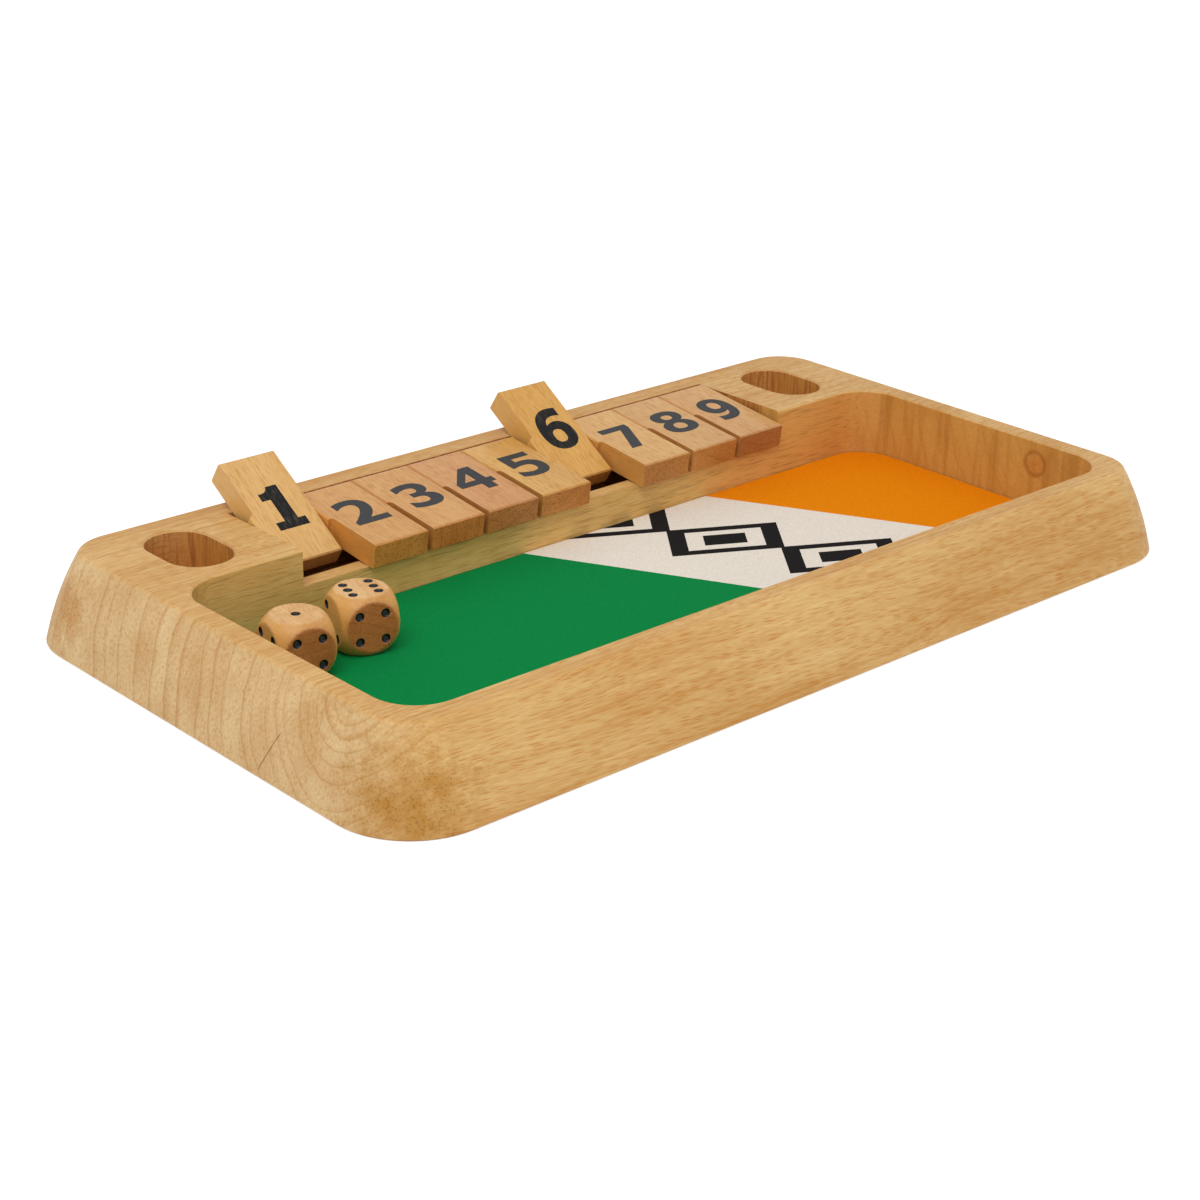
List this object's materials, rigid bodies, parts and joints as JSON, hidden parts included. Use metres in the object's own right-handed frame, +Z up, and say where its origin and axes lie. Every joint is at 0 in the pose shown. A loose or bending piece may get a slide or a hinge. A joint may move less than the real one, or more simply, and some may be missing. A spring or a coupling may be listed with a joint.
{
  "type": "shut the box game",
  "caption": "Routed wooden game tray with a felt-lined dice well, a row of flip-over number tiles on a steel rod, end pockets for storing dice, and wooden dice.",
  "frame": {"origin": "middle of the block's underside", "axes": "+X runs along the row of tiles from the lowest number to the highest, +Y from the player's side to the tiles, +Z up"},
  "size_m": [0.2898, 0.1624, 0.0367],
  "materials": {
    "block_wood": "sanded pale rubberwood, thin satin lacquer",
    "tile_wood": "sanded rubberwood, satin lacquer",
    "dice_wood": "tumbled pale beech, satin",
    "felt": "printed short-nap felt",
    "steel": "drawn steel rod"
  },
  "bodies": {
    "block": {"block": "block_wood", "play_mat": "felt", "pivot_rod": "steel", "rod_dowel_inner": "block_wood", "rod_dowel_outer": "block_wood"},
    "tile_1": {"tile_1": "tile_wood"},
    "tile_2": {"tile_2": "tile_wood"},
    "tile_3": {"tile_3": "tile_wood"},
    "tile_4": {"tile_4": "tile_wood"},
    "tile_5": {"tile_5": "tile_wood"},
    "tile_6": {"tile_6": "tile_wood"},
    "tile_7": {"tile_7": "tile_wood"},
    "tile_8": {"tile_8": "tile_wood"},
    "tile_9": {"tile_9": "tile_wood"},
    "die_left": {"die_left": "dice_wood"},
    "die_right": {"die_right": "dice_wood"}
  },
  "joints": [
    {"name": "tile_1_flip", "type": "hinge", "parent": "block", "child": "tile_1", "pos_m": [-0.07905, 0.05055, 0.0208], "axis": [-1, 0, 0], "range_deg": [-154.1, 0]},
    {"name": "tile_2_flip", "type": "hinge", "parent": "block", "child": "tile_2", "pos_m": [-0.0594, 0.05055, 0.0208], "axis": [-1, 0, 0], "range_deg": [0, 154.1]},
    {"name": "tile_3_flip", "type": "hinge", "parent": "block", "child": "tile_3", "pos_m": [-0.03975, 0.05055, 0.0208], "axis": [-1, 0, 0], "range_deg": [0, 154.1]},
    {"name": "tile_4_flip", "type": "hinge", "parent": "block", "child": "tile_4", "pos_m": [-0.0201, 0.05055, 0.0208], "axis": [-1, 0, 0], "range_deg": [0, 154.1]},
    {"name": "tile_5_flip", "type": "hinge", "parent": "block", "child": "tile_5", "pos_m": [-0.00045, 0.05055, 0.0208], "axis": [-1, 0, 0], "range_deg": [0, 154.1]},
    {"name": "tile_6_flip", "type": "hinge", "parent": "block", "child": "tile_6", "pos_m": [0.0192, 0.05055, 0.0208], "axis": [-1, 0, 0], "range_deg": [-154.1, 0]},
    {"name": "tile_7_flip", "type": "hinge", "parent": "block", "child": "tile_7", "pos_m": [0.03885, 0.05055, 0.0208], "axis": [-1, 0, 0], "range_deg": [0, 154.1]},
    {"name": "tile_8_flip", "type": "hinge", "parent": "block", "child": "tile_8", "pos_m": [0.0585, 0.05055, 0.0208], "axis": [-1, 0, 0], "range_deg": [0, 154.1]},
    {"name": "tile_9_flip", "type": "hinge", "parent": "block", "child": "tile_9", "pos_m": [0.07815, 0.05055, 0.0208], "axis": [-1, 0, 0], "range_deg": [0, 154.1]},
    {"name": "die_left_lift", "type": "slide", "parent": "block", "child": "die_left", "axis": [0, 0, 1], "range_m": [0, 0.06]},
    {"name": "die_right_lift", "type": "slide", "parent": "block", "child": "die_right", "axis": [0, 0, 1], "range_m": [0, 0.06]}
  ]
}
